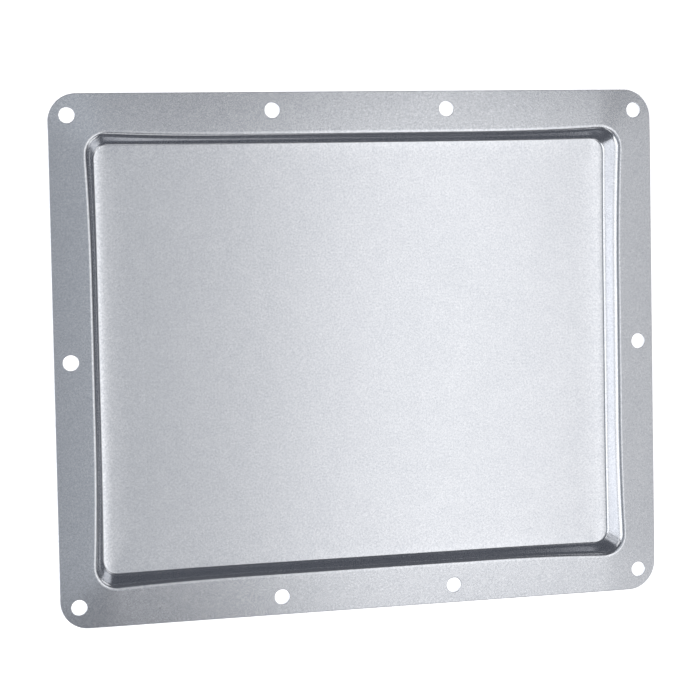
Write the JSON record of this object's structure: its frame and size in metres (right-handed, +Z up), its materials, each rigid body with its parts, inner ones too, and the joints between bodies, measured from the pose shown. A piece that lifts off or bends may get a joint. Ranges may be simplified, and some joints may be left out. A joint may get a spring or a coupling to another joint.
{
  "type": "rectangular cover plate",
  "caption": "Rectangular pressed sheet-steel cover plate: a flat flange with rounded corners and fixing holes round a shallow drawn pan.",
  "frame": {"origin": "under the middle of the pan, on the plane of its underside", "axes": "+X along the long side, +Y along the short side, +Z up out of the recess, square to the flange"},
  "size_m": [0.2, 0.165, 0.0069],
  "materials": {
    "zinc_plated_steel": "satin zinc plate on cold-rolled steel, brighter where the bends were drawn"
  },
  "bodies": {
    "root": {"cover_plate": "zinc_plated_steel"}
  },
  "joints": []
}
